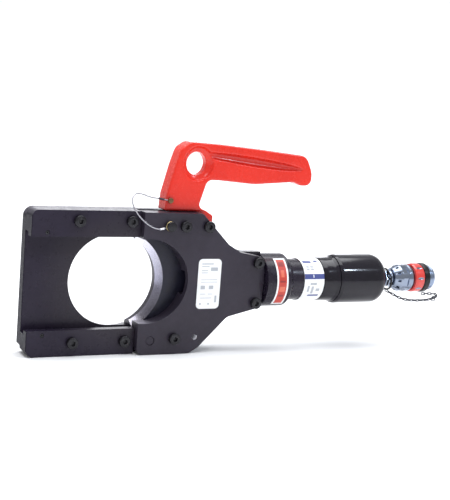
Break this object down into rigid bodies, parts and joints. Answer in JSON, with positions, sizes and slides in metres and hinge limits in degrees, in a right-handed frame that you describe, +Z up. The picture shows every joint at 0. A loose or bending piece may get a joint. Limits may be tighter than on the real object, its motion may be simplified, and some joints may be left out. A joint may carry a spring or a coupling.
{
  "type": "rescue cutter",
  "caption": "Hydraulic guillotine rescue cutting head with a round opening, swing head, sliding blade, latch pin on a wire, cast carrying handle, cylinder grip and capped quick coupler.",
  "frame": {"origin": "under the middle of the tool's bounding box (wire and chain left out), on the plane its lower edge stands on", "axes": "+X along the tool from the cutting head to the coupler, +Z up towards the carrying handle, -Y the side with the bolt heads and nameplate"},
  "size_m": [0.5471, 0.0646, 0.2428],
  "materials": {
    "head_black": "satin black paint",
    "yoke_black": "satin black paint over plate steel",
    "handle_red": "semi-gloss red paint on a casting",
    "blade_steel": "ground tool steel",
    "bolt_steel": "black oxide",
    "grip_rubber": "smooth black rubber",
    "seal_rubber": "smooth",
    "silver": "bright zinc plate",
    "coupler_red": "gloss red",
    "label_white": "printed film",
    "label_red": "printed film",
    "wire_steel": "bright stainless wire",
    "brass": "tumbled"
  },
  "bodies": {
    "yoke": {"yoke_front_plate": "yoke_black", "yoke_rear_plate": "yoke_black", "lower_spacer": "bolt_steel", "lower_yoke_bolt": "bolt_steel", "hinge_pin": "bolt_steel", "neck_bolt_upper": "bolt_steel", "neck_bolt_lower": "bolt_steel", "nameplate": "label_white", "carry_handle": "handle_red", "handle_bolt_1": "bolt_steel", "handle_bolt_2": "bolt_steel", "lanyard_post": "brass", "cylinder_body": "head_black", "rod_seal": "seal_rubber", "grip_collar": "grip_rubber", "grip_sleeve": "grip_rubber", "end_cap": "head_black", "hose_nipple": "silver", "coupler_body": "silver", "chain_ring": "seal_rubber", "neck_label": "label_white", "warning_label": "label_red", "return_spring": "wire_steel", "lanyard_wire": "wire_steel", "cap_chain": "wire_steel"},
    "swing_head": {"fixed_blade": "head_black", "upper_guide_rail": "head_black", "lower_guide_rail": "head_black", "upper_set_screw": "bolt_steel", "lower_set_screw": "bolt_steel", "rail_bolt_1": "bolt_steel", "rail_bolt_2": "bolt_steel", "rail_bolt_3": "bolt_steel", "rail_bolt_4": "bolt_steel"},
    "ram": {"moving_blade": "blade_steel", "piston_rod": "blade_steel", "blade_pin": "bolt_steel", "piston": "silver", "piston_seal": "seal_rubber", "piston_nut": "bolt_steel"},
    "latch": {"latch_pin": "silver", "pin_ring": "brass"},
    "sleeve": {"coupler_sleeve": "coupler_red"},
    "cap": {"dust_cap": "seal_rubber", "cap_plug": "silver"}
  },
  "joints": [
    {"name": "head_swing", "type": "hinge", "parent": "yoke", "child": "swing_head", "pos_m": [-0.12645, 0.00363, 0.0165], "axis": [0, -1, 0], "range_deg": [0, 90]},
    {"name": "blade_slide", "type": "slide", "parent": "yoke", "child": "ram", "axis": [-1, 0, 0], "range_m": [0, 0.106], "stiffness_N_per_m": 300, "springref_m": -0.08, "deforming": ["return_spring"]},
    {"name": "latch_pull", "type": "slide", "parent": "yoke", "child": "latch", "axis": [0, -1, 0], "range_m": [0, 0.045]},
    {"name": "sleeve_slide", "type": "slide", "parent": "yoke", "child": "sleeve", "axis": [-1, 0, 0], "range_m": [0, 0.003], "stiffness_N_per_m": 800, "springref_m": -0.006},
    {"name": "cap_pull", "type": "slide", "parent": "yoke", "child": "cap", "axis": [1, 0, 0], "range_m": [0, 0.03]}
  ]
}
